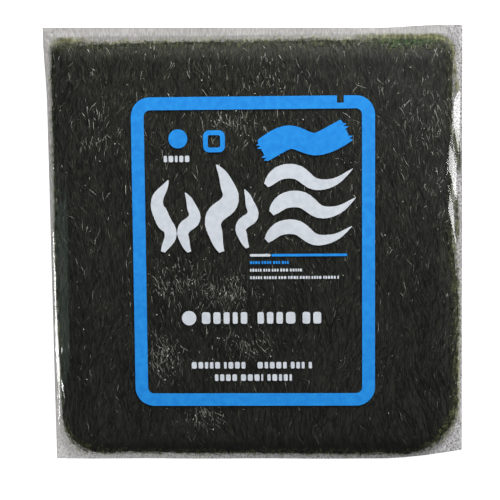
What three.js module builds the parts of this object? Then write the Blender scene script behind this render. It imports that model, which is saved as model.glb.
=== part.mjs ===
// A sealed pouch of clear film, full of a stack of seasoned seaweed sheets, lying on its back with the
// printed side up. Millimetres, +Z up, +Y towards the pouch's top edge. The origin is under the middle of
// the pouch, on the surface it lies on.
//
// The filled pouch is one solid: a flat stack with rounded shoulders, and a thin film margin round it.
// The print is a set of thin flat ink plates, just above the film's flat top.

import * as THREE from 'three';
import { mergeVertices } from 'three/addons/utils/BufferGeometryUtils.js';

// ---- Driving dimensions ---------------------------------------------------------------------------

// The film, over its widest corners.
const POUCH_WIDTH = 212;
const POUCH_LENGTH = 221.6;
const SIDE_LEAN = 0.0045; // how far each side edge leans per millimetre of length
const TOP_LEAN = 0.013; // how far the top edge drops per millimetre towards +X
const CORNER_FLARE = 1.4; // the top left corner stands out sideways
const CORNER_RISE = 1.5; // the top right corner stands up
const CORNER_BOW = 4.6; // the bottom edge bows up to the bottom right corner
const MARGIN_THICKNESS = 0.6; // two films sealed together, as thick as a solid needs
const MARGIN_HEIGHT = 1.9; // the middle of the margin above the resting surface
const MARGIN_WAVE = 0.4; // how far the free margin waves up and down

// The stack of sheets inside, with one radius for each corner.
const STACK_WIDTH = 204;
const STACK_LENGTH = 212;
const STACK_SHIFT = new THREE.Vector2(0.4, -2.9);
const STACK_RADII = { topRight: 7, topLeft: 5, bottomRight: 21, bottomLeft: 15 };
const STACK_HEIGHT = 5.6;
const SHOULDER_INSIDE = 7.0; // the film rises from just outside the stack's edge ...
const SHOULDER_OUTSIDE = 1.0; // ... to its full height this far in

// Folds of the film along the sides: middle x and y, half-width across, half-length, height.
const FOLDS = [
  { x: 101.5, y: 58, across: 1.6, along: 9.5, height: 0.8 },
  { x: 99.2, y: 40, across: 1.5, along: 10.5, height: 0.7 },
  { x: 100.8, y: 9, across: 1.4, along: 12, height: 0.7 },
  { x: -102.3, y: -25, across: 1.3, along: 44, height: 0.5 },
];

// The print.
const INK_THICKNESS = 0.3;
const INK_GAP = 0.3; // clear of the film below
const FRAME_WIDTH = 122.6;
const FRAME_LENGTH = 157.4;
const FRAME_CENTRE = new THREE.Vector2(-0.1, -3.6);
const FRAME_BAND = 6.5;
const FRAME_RADIUS = 9.6;
const FRAME_NOTCH = { x: 43.9, width: 3.4, depth: 3.6 }; // printing mark in the band's top edge

// Mesh fineness.
const FILM_COLUMNS = 38;
const FILM_ROWS = 40;
const ARC_STEPS = 7; // straight stretches in a quarter turn
const STROKE_STEPS = 24; // stretches along a brush stroke

// ---- Materials ------------------------------------------------------------------------------------

const packMaterial = new THREE.MeshStandardMaterial({ color: 0x2b2c26, roughness: 0.35, metalness: 0 });
const blueInk = new THREE.MeshStandardMaterial({ color: 0x2a8ee6, roughness: 0.4, metalness: 0 });
const whiteInk = new THREE.MeshStandardMaterial({ color: 0xdfe5ea, roughness: 0.4, metalness: 0 });

// ---- The filled pouch -----------------------------------------------------------------------------

const { clamp, lerp, smoothstep } = THREE.MathUtils;
const halfWidth = POUCH_WIDTH / 2;
const halfLength = POUCH_LENGTH / 2;

// The four edges of the film, each nearly straight.
const leftEdge = (y) => {
  const straight = -halfWidth + CORNER_FLARE + SIDE_LEAN * (halfLength - y);
  return straight - CORNER_FLARE * smoothstep(y, 0.65 * halfLength, halfLength);
};
const rightEdge = (y) => halfWidth - SIDE_LEAN * (y + halfLength);
const topEdge = (x) => {
  const straight = halfLength - TOP_LEAN * (x + halfWidth);
  return straight + CORNER_RISE * smoothstep(x, 0.57 * halfWidth, 0.9 * halfWidth);
};
const bottomEdge = (x) => {
  const towardsCorner = clamp((x - 0.62 * halfWidth) / (0.38 * halfWidth), 0, 1);
  return -halfLength + CORNER_BOW * towardsCorner ** 1.3;
};

// Distance from the stack's outline, negative inside it.
function stackDistance(x, y) {
  const sx = x - STACK_SHIFT.x;
  const sy = y - STACK_SHIFT.y;
  const upper = sx > 0 ? STACK_RADII.topRight : STACK_RADII.topLeft;
  const lower = sx > 0 ? STACK_RADII.bottomRight : STACK_RADII.bottomLeft;
  const radius = sy > 0 ? upper : lower;
  const dx = Math.abs(sx) - STACK_WIDTH / 2 + radius;
  const dy = Math.abs(sy) - STACK_LENGTH / 2 + radius;
  return Math.hypot(Math.max(dx, 0), Math.max(dy, 0)) + Math.min(Math.max(dx, dy), 0) - radius;
}

// 0 on the margin, 1 on the flat of the stack, a rounded shoulder between.
function fullness(x, y) {
  const inwards = SHOULDER_OUTSIDE - stackDistance(x, y);
  return Math.sin(clamp(inwards / (SHOULDER_OUTSIDE + SHOULDER_INSIDE), 0, 1) * Math.PI / 2);
}

const marginWave = (x, y) => MARGIN_WAVE * Math.sin(x / 9.5 + 1.2) * Math.cos(y / 12.5);

function foldHeight(x, y) {
  let height = 0;
  for (const fold of FOLDS) {
    const across = (x - fold.x) / fold.across;
    const along = (y - fold.y) / fold.along;
    height += fold.height * Math.exp(-across * across - along ** 4);
  }
  return height;
}

function topHeight(x, y) {
  const full = fullness(x, y);
  const margin = MARGIN_HEIGHT + MARGIN_THICKNESS / 2 + marginWave(x, y);
  return lerp(margin, STACK_HEIGHT, full) + foldHeight(x, y);
}

function bottomHeight(x, y) {
  const margin = MARGIN_HEIGHT - MARGIN_THICKNESS / 2 + marginWave(x, y);
  return lerp(margin, 0, fullness(x, y));
}

// Grid lines crowd towards the edges, where the film turns down.
const crowd = (t) => lerp(t, Math.sin(t * Math.PI / 2), 0.85);

function filledPouch() {
  const box = new THREE.BoxGeometry(2, 2, 2, FILM_COLUMNS, FILM_ROWS, 1);
  const position = box.attributes.position;
  for (let i = 0; i < position.count; i++) {
    const u = crowd(position.getX(i));
    const v = crowd(position.getY(i));
    const x = lerp(leftEdge(v * halfLength), rightEdge(v * halfLength), (u + 1) / 2);
    const y = lerp(bottomEdge(u * halfWidth), topEdge(u * halfWidth), (v + 1) / 2);
    const z = position.getZ(i) > 0 ? topHeight(x, y) : bottomHeight(x, y);
    position.setXYZ(i, x, y, z);
  }
  return closed(box);
}

// One closed surface: corners shared, and no normals or texture places.
function closed(geometry) {
  geometry.deleteAttribute('normal');
  geometry.deleteAttribute('uv');
  const merged = mergeVertices(geometry);
  merged.computeVertexNormals();
  return merged;
}

// ---- Outlines of the print ------------------------------------------------------------------------

// A rectangle with round corners, anticlockwise from its bottom right corner.
function roundedRectangle(centre, width, length, radius) {
  const points = [];
  for (let corner = 0; corner < 4; corner++) {
    const sideX = corner === 0 || corner === 1 ? 1 : -1;
    const sideY = corner === 1 || corner === 2 ? 1 : -1;
    for (let k = 0; k <= ARC_STEPS; k++) {
      const angle = (corner - 1 + k / ARC_STEPS) * Math.PI / 2;
      const x = centre.x + sideX * (width / 2 - radius) + radius * Math.cos(angle);
      const y = centre.y + sideY * (length / 2 - radius) + radius * Math.sin(angle);
      points.push(new THREE.Vector2(x, y));
    }
  }
  return points;
}

// The frame's outer edge, with the notch cut into its top stretch.
function frameOutline() {
  const points = roundedRectangle(FRAME_CENTRE, FRAME_WIDTH, FRAME_LENGTH, FRAME_RADIUS);
  const top = FRAME_CENTRE.y + FRAME_LENGTH / 2;
  const afterTopRight = 2 * (ARC_STEPS + 1);
  const right = FRAME_NOTCH.x + FRAME_NOTCH.width / 2;
  const left = FRAME_NOTCH.x - FRAME_NOTCH.width / 2;
  const notch = [
    new THREE.Vector2(right, top),
    new THREE.Vector2(right, top - FRAME_NOTCH.depth),
    new THREE.Vector2(left, top - FRAME_NOTCH.depth),
    new THREE.Vector2(left, top),
  ];
  points.splice(afterTopRight, 0, ...notch);
  return points;
}

// Both sides of a brush stroke along a smooth line: halfWidthAt gives its half-width at t, on one side.
function strokeOutline(line, halfWidthAt) {
  const curve = new THREE.SplineCurve(line.map(([x, y]) => new THREE.Vector2(x, y)));
  const sides = { 1: [], '-1': [] };
  for (let k = 0; k <= STROKE_STEPS; k++) {
    const t = k / STROKE_STEPS;
    const middle = curve.getPointAt(t);
    const along = curve.getTangentAt(t);
    for (const side of [1, -1]) {
      const offset = side * halfWidthAt(t, side);
      sides[side].push(new THREE.Vector2(middle.x - along.y * offset, middle.y + along.x * offset));
    }
  }
  return [...sides['-1'], ...sides[1].reverse()];
}

// A kelp frond: a blade with a short stem and a drawn-out tip, and edges that wave out of step.
const frondWidth = (width) => (t, side) => {
  const taper = Math.sin(Math.PI * (0.06 + 0.93 * t)) ** 0.75;
  return (width / 2) * taper * (1 + 0.18 * Math.sin(5.2 * Math.PI * t + side * 1.4));
};

// A wave: full soon after its start, then drawn out to a thin end.
const waveWidth = (width) => (t) => (width / 2) * Math.sin(Math.PI * (0.02 + 0.97 * t) ** 0.6) ** 0.8;

// The broad blue stroke keeps its width, and its two ends are dragged out in ragged bristle marks.
const BAND_WIDTH = 12.5;
const BAND_BRISTLES = 7;
const BAND_DRAG = 2.6;

function bandOutline(line) {
  const points = strokeOutline(line, (t) => (BAND_WIDTH / 2) * (0.94 + 0.06 * Math.sin(9 * t)));
  const count = STROKE_STEPS + 1;
  const ragged = (from, to, direction, phase) => {
    const teeth = [];
    for (let k = 1; k < 2 * BAND_BRISTLES; k++) {
      const point = from.clone().lerp(to, k / (2 * BAND_BRISTLES));
      const drag = (k % 2 ? 1 : 0.15) * BAND_DRAG * (0.55 + 0.45 * Math.sin(2.3 * k + phase));
      teeth.push(point.addScaledVector(direction, drag));
    }
    return teeth;
  };
  const [startX, startY] = line[0];
  const [endX, endY] = line[line.length - 1];
  const outwards = new THREE.Vector2(endX - startX, endY - startY).normalize();
  const right = points.slice(0, count);
  const left = points.slice(count);
  const farEnd = ragged(right[count - 1], left[0], outwards, 0.4);
  const nearEnd = ragged(left[count - 1], right[0], outwards.clone().negate(), 2.1);
  return [...right, ...farEnd, ...left, ...nearEnd];
}

// ---- Ink plates -----------------------------------------------------------------------------------

const pouch = new THREE.Group();

function addSolid(name, geometry, material) {
  const mesh = new THREE.Mesh(geometry, material);
  mesh.name = name;
  pouch.add(mesh);
  return mesh;
}

// A plate of ink with the given outline, over the film's flat top.
function addInk(name, material, outline, hole = null) {
  const shape = new THREE.Shape(outline);
  if (hole) shape.holes.push(new THREE.Path(hole));
  const plate = new THREE.ExtrudeGeometry(shape, { depth: INK_THICKNESS, bevelEnabled: false });
  const mesh = addSolid(name, closed(plate), material);
  mesh.position.z = STACK_HEIGHT + INK_GAP;
}

// A bar with round ends, for a line of small print.
function addBar(name, material, left, right, y, height) {
  const centre = new THREE.Vector2((left + right) / 2, y);
  addInk(name, material, roundedRectangle(centre, right - left, height, 0.4 * height));
}

addSolid('film_pack', filledPouch(), packMaterial);

const frameHole = roundedRectangle(
  FRAME_CENTRE,
  FRAME_WIDTH - 2 * FRAME_BAND,
  FRAME_LENGTH - 2 * FRAME_BAND,
  FRAME_RADIUS - FRAME_BAND,
);
addInk('print_frame', blueInk, frameOutline(), frameHole);

// Top row: a disc and a square ring with a bar below on the left, and the broad stroke on the right.
const DISC_CENTRE = new THREE.Vector2(-37.8, 54.2);
const DISC_DIAMETER = 9.6;
const SQUARE_CENTRE = new THREE.Vector2(-19.6, 52.8);
const SQUARE_SIZE = 11;
const SQUARE_BAND = 2.4;
addInk('print_disc', blueInk, roundedRectangle(DISC_CENTRE, DISC_DIAMETER, DISC_DIAMETER, DISC_DIAMETER / 2));
addInk(
  'print_square',
  blueInk,
  roundedRectangle(SQUARE_CENTRE, SQUARE_SIZE, SQUARE_SIZE, 3),
  roundedRectangle(SQUARE_CENTRE, SQUARE_SIZE - 2 * SQUARE_BAND, SQUARE_SIZE - 2 * SQUARE_BAND, 1),
);
addBar('print_bar_top', whiteInk, -45.1, -29.4, 44.1, 3.2);
addInk('print_band', blueInk, bandOutline([[5, 48], [18, 54.5], [32, 51], [46.5, 57.5]]));

// Middle: four kelp fronds stand beside three waves.
const FRONDS = [
  { line: [[-46, -3], [-42.5, 8], [-49, 20], [-43, 33.5]], width: 7.6 },
  { line: [[-32.5, -3], [-36, 6], [-30, 16], [-34.5, 27]], width: 6.6 },
  { line: [[-16, -3], [-20.5, 11], [-11.5, 26], [-18.5, 41]], width: 9.4 },
  { line: [[-3, -1], [-6.5, 8], [-0.5, 17], [-4.5, 28.5]], width: 6.2 },
];
FRONDS.forEach(({ line, width }, i) => {
  addInk(`print_frond_${i + 1}`, whiteInk, strokeOutline(line, frondWidth(width)));
});
const WAVES = [
  { line: [[6.5, 30.5], [13, 36.5], [22, 37], [31, 31], [41, 32], [50, 38.5]], width: 7.4 },
  { line: [[9, 16.5], [15.5, 22.5], [24.5, 23], [33.5, 17], [43, 18], [51.5, 24]], width: 8.4 },
  { line: [[6.5, 2.5], [13, 8.5], [22, 9], [31, 3], [41, 4], [49.5, 9.5]], width: 7.4 },
];
WAVES.forEach(({ line, width }, i) => {
  addInk(`print_wave_${i + 1}`, whiteInk, strokeOutline(line, waveWidth(width)));
});

// Below: a rule in two colours with three fine lines, a bold line after a disc, and two lines at the foot.
addBar('print_rule_white', whiteInk, -2, 8.4, -4.9, 1.3);
addBar('print_rule_blue', blueInk, 8.8, 47.2, -4.9, 1.3);
addBar('print_fine_1', blueInk, -2, 18.3, -8.6, 1.5);
addBar('print_fine_2', whiteInk, -2, 24.9, -12.5, 1.5);
addBar('print_fine_3', whiteInk, -2, 43.6, -16.3, 1.5);
const BOLD_Y = -36.9;
const BOLD_HEIGHT = 6;
const BOLD_DISC = new THREE.Vector2(-33.3, BOLD_Y);
addInk('print_bold_disc', whiteInk, roundedRectangle(BOLD_DISC, 7.4, 7.4, 3.7));
addBar('print_bold_1', whiteInk, -26.8, -1.2, BOLD_Y, BOLD_HEIGHT);
addBar('print_bold_2', whiteInk, 1.6, 36.9, BOLD_Y, BOLD_HEIGHT);
const FOOT_HEIGHT = 3.4;
addBar('print_foot_1a', whiteInk, -32.3, -2.6, -61.3, FOOT_HEIGHT);
addBar('print_foot_1b', whiteInk, 1.4, 29.2, -61.3, FOOT_HEIGHT);
addBar('print_foot_2a', whiteInk, -20.5, 4.2, -67.7, FOOT_HEIGHT);
addBar('print_foot_2b', whiteInk, 6.4, 18.9, -67.7, FOOT_HEIGHT);

export default pouch;
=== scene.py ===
# A sealed pouch of clear film with a stack of seasoned seaweed sheets in it, lying on its back with the
# printed side up. It is built in the order in which it is packed: the sheets are stacked, the film is
# closed round them, and the front carries a print in blue and white. Lengths are in millimetres, and a
# mesh is turned to metres when it is made.

import math

import bmesh
import bpy
import numpy as np
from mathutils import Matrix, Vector


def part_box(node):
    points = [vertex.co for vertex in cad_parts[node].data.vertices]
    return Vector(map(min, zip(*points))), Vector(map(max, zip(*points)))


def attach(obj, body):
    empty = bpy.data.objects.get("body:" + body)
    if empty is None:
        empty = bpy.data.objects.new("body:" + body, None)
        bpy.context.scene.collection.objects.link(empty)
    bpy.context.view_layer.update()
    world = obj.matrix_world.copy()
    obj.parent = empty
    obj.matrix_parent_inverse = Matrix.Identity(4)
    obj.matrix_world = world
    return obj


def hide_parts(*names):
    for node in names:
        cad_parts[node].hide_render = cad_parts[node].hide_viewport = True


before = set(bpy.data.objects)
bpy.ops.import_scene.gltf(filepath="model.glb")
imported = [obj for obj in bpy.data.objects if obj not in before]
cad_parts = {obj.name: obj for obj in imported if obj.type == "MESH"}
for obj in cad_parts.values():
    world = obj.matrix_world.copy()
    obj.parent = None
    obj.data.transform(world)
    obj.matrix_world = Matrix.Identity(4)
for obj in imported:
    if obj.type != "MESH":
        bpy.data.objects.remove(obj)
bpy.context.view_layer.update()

# ---- Pressed seaweed sheets ------------------------------------------------------------------------
# Each sheet is fine green seaweed, washed, spread on a mat and dried to a felt that is nearly black
# where it is thick. Ten of them lie in the pouch, with ragged edges that don't quite meet, and the
# film presses them together along their rims.

MM = 0.001
SHEETS = 10
SHEET_SHARE = 0.8  # of its place in the stack; the rest is air
SHEET_SHIFT = 0.6  # how far a sheet lies off the middle of the stack
SHEET_RADII = {"top_right": 9, "top_left": 5, "bottom_right": 29, "bottom_left": 19}
EDGE_STEP = 1.0  # one stretch of a face sheet's ragged edge
EDGE_RAG = 0.75
LARGE_TOOTH, SMALL_TOOTH, BAY = 2.4, 1.0, 21  # how long the ragged edge's teeth and bays are
ARC_POINTS = 24  # round each corner, before the edge is cut into stretches

# The room that the closed pouch leaves them.
pouch_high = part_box("film_pack")[1]
HALF_WIDTH = pouch_high.x / MM
HALF_LENGTH = pouch_high.y / MM
STACK_HEIGHT = pouch_high.z / MM
STACK_HALF_WIDTH, STACK_HALF_LENGTH = 102.0, 106.0
STACK_X, STACK_Y = 0.4, -2.9
STACK_RADII = {"top_right": 7, "top_left": 5, "bottom_right": 21, "bottom_left": 15}
MARGIN_HEIGHT, MARGIN_WAVE = 1.9, 0.4
WAVE_ACROSS, WAVE_ALONG, WAVE_START = 9.5, 12.5, 1.2  # a wave is 2 pi times as long as its figure
SHOULDER_INSIDE, SHOULDER_OUTSIDE = 9.5, 1.0
SHOULDER_ROUND = 0.6  # the share of a quarter circle in the shoulder's section; the rest is an S
SWELL = 0.14  # the film rises and falls with the sheets below
BACK_LIFT = 0.03  # the flat of the underside
SEAL_GAP = 0.1  # between the two webs of film where they are sealed
TENT_GAP = 0.9  # between them just outside the stack
TENT_START, TENT_END = 0.6, 3.4  # how far outside the stack that gap starts and ends to close
FILM_CLEARANCE = 0.4  # from the outer sheets to the film, taken up by loose strands
CLEARANCE_SHARE = 0.3  # of the room between the webs, which the clearance never exceeds

# How far the ends of the sheets' edges stray from the outline to which the film is drawn in, towards
# +X or +Y.
LEFT_LEAN_FOOT, LEFT_LEAN_TOP = 2.4, 0.4
RIGHT_LEAN_FOOT, RIGHT_LEAN_TOP = 0.5, -3.2
FOOT_LEAN_LEFT, FOOT_LEAN_RIGHT = 2.2, 1.3
TOP_LEAN_LEFT, TOP_LEAN_RIGHT, TOP_RIGHT_DIP = -1.8, -1.1, 1.2


def lerp(a, b, t):
    return a + (b - a) * t


def smooth(value, start, end):
    t = np.clip((value - start) / (end - start), 0, 1)
    return t * t * (3 - 2 * t)


def rough(x, y, size, seed):
    """Random relief between -1 and 1 with bumps about size millimetres across."""
    across, along = 97, 89  # bumps before it repeats
    lattice = np.random.default_rng(seed).uniform(-1, 1, (across, along))
    u, v = np.asarray(x) / size + 1000.0, np.asarray(y) / size + 1000.0
    i, j = np.floor(u).astype(int), np.floor(v).astype(int)
    s, t = smooth(u - i, 0, 1), smooth(v - j, 0, 1)
    near = lerp(lattice[i % across, j % along], lattice[i % across, (j + 1) % along], t)
    far = lerp(lattice[(i + 1) % across, j % along], lattice[(i + 1) % across, (j + 1) % along], t)
    return lerp(near, far, s)


def distance_outside(x, y, half_width, half_length, radii):
    """Distance from a rectangle with four corner radii, negative inside it."""
    upper = np.where(x > 0, radii["top_right"], radii["top_left"])
    lower = np.where(x > 0, radii["bottom_right"], radii["bottom_left"])
    radius = np.where(y > 0, upper, lower)
    dx, dy = np.abs(x) - half_width + radius, np.abs(y) - half_length + radius
    outside = np.hypot(np.maximum(dx, 0), np.maximum(dy, 0))
    return outside + np.minimum(np.maximum(dx, dy), 0) - radius


def stack_distance(x, y):
    """Distance from the outline to which the film is drawn in."""
    return distance_outside(x - STACK_X, y - STACK_Y, STACK_HALF_WIDTH, STACK_HALF_LENGTH, STACK_RADII)


def sheet_lean(x, y):
    """How far the sheets' edges stray from that outline, across and along."""
    u, v = (x / STACK_HALF_WIDTH + 1) / 2, (y / STACK_HALF_LENGTH + 1) / 2
    left = lerp(LEFT_LEAN_FOOT, LEFT_LEAN_TOP, smooth(v, 0, 0.5))
    right = lerp(RIGHT_LEAN_FOOT, RIGHT_LEAN_TOP, smooth(v, 0.35, 0.6))
    foot = lerp(FOOT_LEAN_LEFT, FOOT_LEAN_RIGHT, u)
    top = lerp(TOP_LEAN_LEFT, TOP_LEAN_RIGHT, u) - TOP_RIGHT_DIP * smooth(u, 0.65, 0.95)
    return lerp(left, right, u), lerp(foot, top, v)


def fullness(x, y):
    """0 on the sealed margin, 1 on the flat of the stack, a rounded shoulder between."""
    inwards = (SHOULDER_OUTSIDE - stack_distance(x, y)) / (SHOULDER_OUTSIDE + SHOULDER_INSIDE)
    inwards = np.clip(inwards, 0, 1)
    circle = np.sin(inwards * math.pi / 2)
    return SHOULDER_ROUND * circle + (1 - SHOULDER_ROUND) * smooth(inwards, 0, 1)


def margin_height(x, y):
    """Height of the middle of the sealed margin, which waves a little both ways."""
    return MARGIN_HEIGHT + MARGIN_WAVE * np.sin(x / WAVE_ACROSS + WAVE_START) * np.cos(y / WAVE_ALONG)


def margin_gap(x, y):
    """The gap between the two webs outside the stack: a narrow tent round it, then the seal."""
    return lerp(SEAL_GAP, TENT_GAP, smooth(stack_distance(x, y), TENT_END, TENT_START))


def front_rise(x, y):
    """Height of the front web before it is tucked and crinkled."""
    swell = SWELL * (rough(x, y, 34, 1) + 0.5 * rough(x, y, 13, 2))
    margin = margin_height(x, y) + margin_gap(x, y) / 2
    return lerp(margin, STACK_HEIGHT - SWELL + swell, fullness(x, y))


def back_rise(x, y):
    """Height of the back web, likewise."""
    margin = margin_height(x, y) - margin_gap(x, y) / 2
    return lerp(margin, BACK_LIFT, fullness(x, y))


def inside(x, y, share):
    """Height of a place between the outer faces of the stack: 0 at the back and 1 at the front."""
    room = front_rise(x, y) - back_rise(x, y)
    clearance = np.minimum(FILM_CLEARANCE, CLEARANCE_SHARE * room)
    return lerp(back_rise(x, y) + clearance, front_rise(x, y) - clearance, share)


def linear(colour):
    """An sRGB hex colour as linear red, green, blue and alpha."""
    parts = [int(colour[i : i + 2], 16) / 255 for i in (1, 3, 5)]
    return (*(p / 12.92 if p < 0.04045 else ((p + 0.055) / 1.055) ** 2.4 for p in parts), 1)


def add_node(tree, kind, inputs=None, stops=None, **settings):
    """Adds one node. inputs maps a socket's name or number to a value or to the socket that feeds it,
    and stops lists the places and hex colours of a ramp in rising order."""
    node = tree.nodes.new("ShaderNode" + kind)
    for name, value in settings.items():
        setattr(node, name, value)
    for name, value in (inputs or {}).items():
        if isinstance(value, bpy.types.NodeSocket):
            tree.links.new(value, node.inputs[name])
        else:
            node.inputs[name].default_value = value
    for index, (place, colour) in enumerate(stops or ()):
        ramp = node.color_ramp.elements
        element = ramp[index] if index < 2 else ramp.new(place)
        element.position, element.color = place, linear(colour)
    return node


def new_material(name):
    material = bpy.data.materials.new(name)
    material.use_nodes = True
    material.node_tree.nodes.clear()
    return material, material.node_tree


def grains(across, along):
    """Scale of a pattern whose grains are so many millimetres across and along the pack."""
    return (1 / (across * MM), 1 / (along * MM), 1 / (across * MM))


def felted_seaweed():
    """Dried and oiled seaweed felt: rough and nearly black, with strands 0.4 mm wide and 3 mm long up
    the sheet, and with olive patches 8 mm wide and 14 mm long where it is thin."""
    material, tree = new_material("felted_seaweed_oiled")
    place = add_node(tree, "TexCoord").outputs["Object"]
    strand_place = add_node(tree, "VectorMath", {0: place, 1: grains(0.4, 3)}, operation="MULTIPLY")
    strand = add_node(tree, "TexNoise", {"Vector": strand_place.outputs[0], "Scale": 1.0})
    patch_place = add_node(tree, "VectorMath", {0: place, 1: grains(8, 14)}, operation="MULTIPLY")
    patch = add_node(tree, "TexNoise", {"Vector": patch_place.outputs[0], "Scale": 1.0})
    by_strand = {"Fac": strand.outputs["Fac"]}
    thick = ((0.35, "#10110d"), (0.5, "#191a15"), (0.65, "#262720"))
    thin = ((0.35, "#191a15"), (0.5, "#272820"), (0.65, "#3c3d32"))
    thick_felt = add_node(tree, "ValToRGB", by_strand, thick)
    thin_felt = add_node(tree, "ValToRGB", by_strand, thin)
    felt = {0: patch.outputs["Fac"], 6: thick_felt.outputs[0], 7: thin_felt.outputs[0]}
    colour = add_node(tree, "Mix", felt, data_type="RGBA").outputs[2]
    relief = {"Strength": 0.6, "Distance": 0.15 * MM, "Height": strand.outputs["Fac"]}
    bump = add_node(tree, "Bump", relief).outputs[0]
    finish = {"Base Color": colour, "Roughness": 0.55, "Specular IOR Level": 0.3, "Normal": bump}
    shader = add_node(tree, "BsdfPrincipled", finish)
    add_node(tree, "OutputMaterial", {"Surface": shader.outputs[0]})
    return material


def new_piece(name, points, faces, materials, shade_smooth=True):
    """A mesh from points in millimetres and faces, riding on the pack."""
    mesh = bpy.data.meshes.new(name)
    mesh.from_pydata(np.asarray(points, float) * MM, [], faces)
    mesh.polygons.foreach_set("use_smooth", [shade_smooth] * len(mesh.polygons))
    for material in materials:
        mesh.materials.append(material)
    mesh.update()
    piece = bpy.data.objects.new(name, mesh)
    bpy.context.scene.collection.objects.link(piece)
    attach(piece, "root")
    return piece


def sheet_outline(step, seed, rag):
    """The ragged outline of one sheet, anticlockwise, as an array of points."""
    corners = []
    turns = ((1, -1, "bottom_right"), (1, 1, "top_right"), (-1, 1, "top_left"), (-1, -1, "bottom_left"))
    for turn, (side_x, side_y, name) in enumerate(turns):
        radius = SHEET_RADII[name]
        angles = np.radians(np.linspace(90 * turn - 90, 90 * turn, ARC_POINTS))
        centre_x = side_x * (STACK_HALF_WIDTH - radius)
        centre_y = side_y * (STACK_HALF_LENGTH - radius)
        arc = [centre_x + radius * np.cos(angles), centre_y + radius * np.sin(angles)]
        corners.append(np.stack(arc, 1))
    loop = np.concatenate([*corners, corners[0][:1]])
    travelled = np.concatenate([[0], np.cumsum(np.hypot(*np.diff(loop, axis=0).T))])
    at = np.arange(0, travelled[-1] - step / 2, step)
    x, y = np.interp(at, travelled, loop[:, 0]), np.interp(at, travelled, loop[:, 1])
    along = np.roll([x, y], -1, 1) - np.roll([x, y], 1, 1)
    along /= np.hypot(*along)
    own = 31 * seed  # a row of the relief that no other sheet's edge uses
    teeth = rough(at, own, LARGE_TOOTH, 50) + 0.7 * rough(at, own, SMALL_TOOTH, 51)
    bays = 0.9 * rough(at, own, BAY, 52) - 0.3
    out = rag * (teeth + bays)
    x, y = x + along[1] * out, y - along[0] * out
    lean_x, lean_y = sheet_lean(x, y)
    return np.stack([x + STACK_X + lean_x, y + STACK_Y + lean_y], 1)


def sheet_mesh(outline, share_low, share_high, loops):
    """Points and faces of one closed sheet. loops are the sizes of its rings, from 1 at the edge."""
    centre = outline.mean(0)
    count = len(outline)
    points = []
    for share in (share_high, share_low):
        for size in loops:
            x, y = (centre + (outline - centre) * size).T
            points.append(np.stack([x, y, inside(x, y, share)], 1))
    here = np.arange(count)
    there = (here + 1) % count
    faces = []
    for k in range(len(loops) - 1):
        top, low = k * count, (len(loops) + k) * count
        faces += np.stack([top + here, top + there, top + count + there, top + count + here], 1).tolist()
        faces += np.stack([low + there, low + here, low + count + here, low + count + there], 1).tolist()
    rim = len(loops) * count
    faces += np.stack([here, rim + here, rim + there, there], 1).tolist()
    faces.append((here + (len(loops) - 1) * count).tolist())
    faces.append((here[::-1] + (2 * len(loops) - 1) * count).tolist())
    return np.concatenate(points), faces


# The rings of a sheet's mesh: only the outermost where other sheets hide the rest of it.
MIDDLE_LOOPS = (1.0, 0.985, 0.95, 0.9)
FACE_LOOPS = (1.0, 0.993, 0.98, 0.965, 0.94, 0.9, 0.84, 0.76, 0.66, 0.54, 0.4, 0.24, 0.1)

seaweed = felted_seaweed()
for number in range(SHEETS):
    face_sheet = number in (0, SHEETS - 1)
    outline = sheet_outline(EDGE_STEP if face_sheet else 2 * EDGE_STEP, number, EDGE_RAG)
    outline += np.random.default_rng(number).uniform(-SHEET_SHIFT, SHEET_SHIFT, 2)
    top, low = (number + SHEET_SHARE) / (SHEETS - 1 + SHEET_SHARE), number / (SHEETS - 1 + SHEET_SHARE)
    points, faces = sheet_mesh(outline, low, top, FACE_LOOPS if face_sheet else MIDDLE_LOOPS)
    sheet = new_piece(f"seaweed_sheet_{number + 1}", points, faces, [seaweed])
    if face_sheet:
        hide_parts("film_pack")

# ---- Strands of the felt ---------------------------------------------------------------------------
# The felt's own strands stand a little out of its face, on the front and the back of the stack. They
# are 0.14 to 0.42 mm thick, run mostly up the sheet and curl past each other. Thick ones dry black,
# and thin ones dry olive. There are more thin ones towards the top right, where the felt is loose,
# and more up the sheet than along the foot, which is painted light: paler felt where more light falls.

# How far inside the pouch's box a strand stays: the film's own edges slant inside that box.
INSET_LEFT, INSET_RIGHT, INSET_FOOT, INSET_TOP = 2.6, 1.2, 0.4, 3.2
PROBE = 0.2  # how far to each side the slope of a distance is measured
TIP_SHARE = 0.4  # a strand's thickness at its tips, of that at its middle
THREE_SIDES = ((0.0, 1.0), (-0.87, -0.5), (0.87, -0.5))  # across and up from a strand's middle
SPREAD_REACH = 0.5  # how far outside the sheets a strand's middle may lie
SPREAD_TRIES = 8  # places drawn for each strand that is kept
BACK_GAP, FRONT_GAP = 0.4, 0.1  # from the outer sheets to their strands, of the film's clearance


def sheet_distance(x, y):
    """Distance from the sheets' common outline, negative inside it."""
    lean_x, lean_y = sheet_lean(x, y)
    across, along = x - STACK_X - lean_x, y - STACK_Y - lean_y
    return distance_outside(across, along, STACK_HALF_WIDTH, STACK_HALF_LENGTH, SHEET_RADII)


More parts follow.
